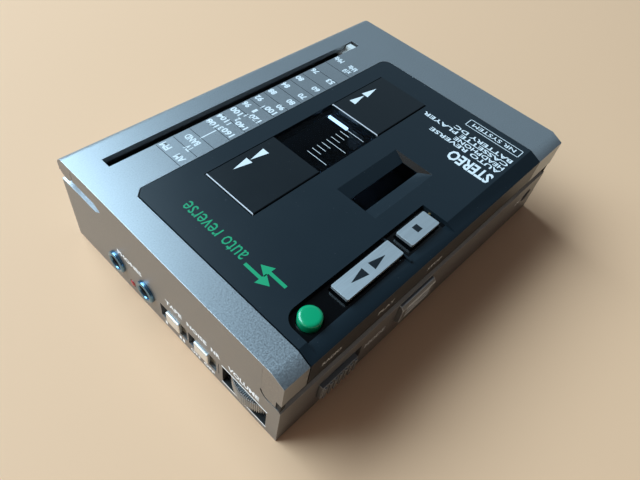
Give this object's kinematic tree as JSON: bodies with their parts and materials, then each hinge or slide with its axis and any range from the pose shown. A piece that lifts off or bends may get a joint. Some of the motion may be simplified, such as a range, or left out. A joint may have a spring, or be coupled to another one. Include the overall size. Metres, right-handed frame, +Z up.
{
  "type": "portable cassette player",
  "caption": "Flat pocket cassette player with a hinged lid, piano-type keys, a radio scale slot and end controls.",
  "frame": {"origin": "centre of the bounding box at the surface it lies on", "axes": "+X away from the socket end along the length, +Y towards the lid hinge, +Z up out of the lid"},
  "size_m": [0.1186, 0.0842, 0.0308],
  "materials": {
    "silver_paint": "fine metallic grey-blue paint, satin",
    "panel_black": "blue-black moulding, satin gloss",
    "dark_plastic": "dark moulded plastic",
    "steel": "plain zinc-plated steel",
    "key_metal": "brushed aluminium",
    "brass": "turned brass",
    "belt_rubber": "matt black rubber",
    "blue_ring": "blue anodised ring",
    "button_green": "bright green gloss plastic",
    "lamp_red": "clear red lamp lens",
    "white_plastic": "white moulded plastic",
    "smoked_window": "smoked clear plastic",
    "board_green": "green circuit board lacquer",
    "cell_wrap": "printed film wrap, plain colour"
  },
  "bodies": {
    "root": {"lower_case": "silver_paint", "hinge_pin_left": "steel", "hinge_pin_right": "steel", "case_screw_1": "steel", "case_screw_2": "steel", "case_screw_3": "steel", "case_screw_4": "steel", "deck_plate": "dark_plastic", "front_trim": "panel_black", "chassis_plate": "steel", "circuit_board": "board_green", "drive_motor": "steel", "drive_belt": "belt_rubber", "volume_pot": "dark_plastic", "noise_switch": "steel", "tape_switch": "steel", "phone_jack_1": "dark_plastic", "phone_jack_2": "dark_plastic", "jack_ring_1": "blue_ring", "jack_ring_2": "blue_ring", "battery_lamp": "lamp_red", "latch_spring": "steel", "dc_socket": "dark_plastic", "battery_cell_1": "cell_wrap", "battery_cell_2": "cell_wrap", "battery_contact": "steel", "battery_spring": "steel"},
    "lid": {"lid_frame": "silver_paint", "lid_panel": "panel_black", "lid_inner_plate": "dark_plastic", "tape_window": "smoked_window", "pointer_rail": "steel", "lid_catch": "steel", "hold_spring_left": "brass", "hold_spring_right": "brass"},
    "dial_pointer": {"dial_pointer": "white_plastic"},
    "direction_flag": {"direction_flag": "white_plastic"},
    "rewind_key": {"rewind_key": "panel_black"},
    "forward_key": {"forward_key": "panel_black"},
    "play_key": {"play_key": "dark_plastic", "play_key_cap": "key_metal"},
    "stop_key": {"stop_key": "dark_plastic", "stop_key_cap": "key_metal"},
    "green_button": {"green_button": "button_green"},
    "latch_button": {"latch_button": "silver_paint"},
    "battery_door": {"battery_door": "silver_paint"},
    "volume_wheel": {"volume_wheel": "steel"},
    "noise_knob": {"noise_switch_knob": "key_metal"},
    "tape_knob": {"tape_switch_knob": "key_metal"},
    "mode_knob": {"mode_switch_knob": "silver_paint"},
    "motor_pulley": {"motor_pulley": "brass"},
    "flywheel_left": {"flywheel_left": "brass"},
    "flywheel_right": {"flywheel_right": "brass"},
    "spindle_left": {"spindle_left": "white_plastic"},
    "spindle_right": {"spindle_right": "white_plastic"},
    "head_plate": {"head_plate": "steel", "playback_head": "steel"},
    "pinch_roller_left": {"pinch_roller_left": "belt_rubber"},
    "pinch_roller_right": {"pinch_roller_right": "belt_rubber"}
  },
  "joints": [
    {"name": "lid_hinge", "type": "hinge", "parent": "root", "child": "lid", "pos_m": [0.0008, 0.03905, 0.027], "axis": [-1, 0, 0], "range_deg": [0, 90]},
    {"name": "pointer_slide", "type": "slide", "parent": "lid", "child": "dial_pointer", "axis": [1, 0, 0], "range_m": [-0.088, 0]},
    {"name": "flag_slide", "type": "slide", "parent": "lid", "child": "direction_flag", "axis": [1, 0, 0], "range_m": [-0.0172, 0]},
    {"name": "rewind_press", "type": "hinge", "parent": "lid", "child": "rewind_key", "pos_m": [-0.0108, 0.00505, 0.0291], "axis": [0, -1, 0], "range_deg": [0, 2.8], "stiffness_Nm_per_rad": 0.15, "springref_deg": -2.86},
    {"name": "forward_press", "type": "hinge", "parent": "lid", "child": "forward_key", "pos_m": [0.0138, 0.00505, 0.0291], "axis": [0, 1, 0], "range_deg": [0, 2.8], "stiffness_Nm_per_rad": 0.15, "springref_deg": -2.86},
    {"name": "play_press", "type": "slide", "parent": "lid", "child": "play_key", "axis": [0, 0, -1], "range_m": [0, 0.0012], "stiffness_N_per_m": 300, "springref_m": -0.001},
    {"name": "stop_press", "type": "slide", "parent": "lid", "child": "stop_key", "axis": [0, 0, -1], "range_m": [0, 0.0012], "stiffness_N_per_m": 300, "springref_m": -0.001},
    {"name": "green_press", "type": "slide", "parent": "lid", "child": "green_button", "axis": [0, 0, -1], "range_m": [0, 0.0012], "stiffness_N_per_m": 300, "springref_m": -0.001},
    {"name": "latch_press", "type": "slide", "parent": "root", "child": "latch_button", "axis": [0, 1, 0], "range_m": [0, 0.0015], "stiffness_N_per_m": 300, "springref_m": -0.001},
    {"name": "battery_door_slide", "type": "slide", "parent": "root", "child": "battery_door", "axis": [1, 0, 0], "range_m": [0, 0.012]},
    {"name": "volume_turn", "type": "hinge", "parent": "root", "child": "volume_wheel", "pos_m": [-0.0494, -0.02905, 0.0059], "axis": [0, 0, 1], "range_deg": [0, 270]},
    {"name": "noise_switch_slide", "type": "slide", "parent": "root", "child": "noise_knob", "axis": [0, 1, 0], "range_m": [-0.002, 0.002]},
    {"name": "tape_switch_slide", "type": "slide", "parent": "root", "child": "tape_knob", "axis": [0, 1, 0], "range_m": [-0.002, 0.002]},
    {"name": "mode_switch_slide", "type": "slide", "parent": "root", "child": "mode_knob", "axis": [1, 0, 0], "range_m": [0, 0.0025]},
    {"name": "flywheel_left_spin", "type": "hinge", "parent": "root", "child": "flywheel_left", "pos_m": [-0.0232, -0.0167, 0.0055], "axis": [0, 0, 1], "continuous": true},
    {"name": "flywheel_right_spin", "type": "hinge", "parent": "root", "child": "flywheel_right", "pos_m": [0.0248, -0.0167, 0.0055], "axis": [0, 0, 1], "continuous": true},
    {"name": "motor_spin", "type": "hinge", "parent": "root", "child": "motor_pulley", "pos_m": [0.0438, 0.0068, 0.0055], "axis": [0, 0, 1], "continuous": true},
    {"name": "spindle_left_spin", "type": "hinge", "parent": "root", "child": "spindle_left", "pos_m": [-0.02045, 0.0079, 0.011], "axis": [0, 0, 1], "continuous": true},
    {"name": "spindle_right_spin", "type": "hinge", "parent": "root", "child": "spindle_right", "pos_m": [0.02205, 0.0079, 0.011], "axis": [0, 0, 1], "continuous": true},
    {"name": "head_plate_slide", "type": "slide", "parent": "root", "child": "head_plate", "axis": [0, 1, 0], "range_m": [0, 0.004]},
    {"name": "roller_left_spin", "type": "hinge", "parent": "head_plate", "child": "pinch_roller_left", "pos_m": [-0.0232, -0.0312, 0.0195], "axis": [0, 0, 1], "continuous": true},
    {"name": "roller_right_spin", "type": "hinge", "parent": "head_plate", "child": "pinch_roller_right", "pos_m": [0.0248, -0.0312, 0.0195], "axis": [0, 0, 1], "continuous": true}
  ],
  "couplings": [
    {"joint": "flywheel_right_spin", "follows": "flywheel_left_spin", "ratio": -1},
    {"joint": "motor_spin", "follows": "flywheel_left_spin", "ratio": 4.1333}
  ]
}
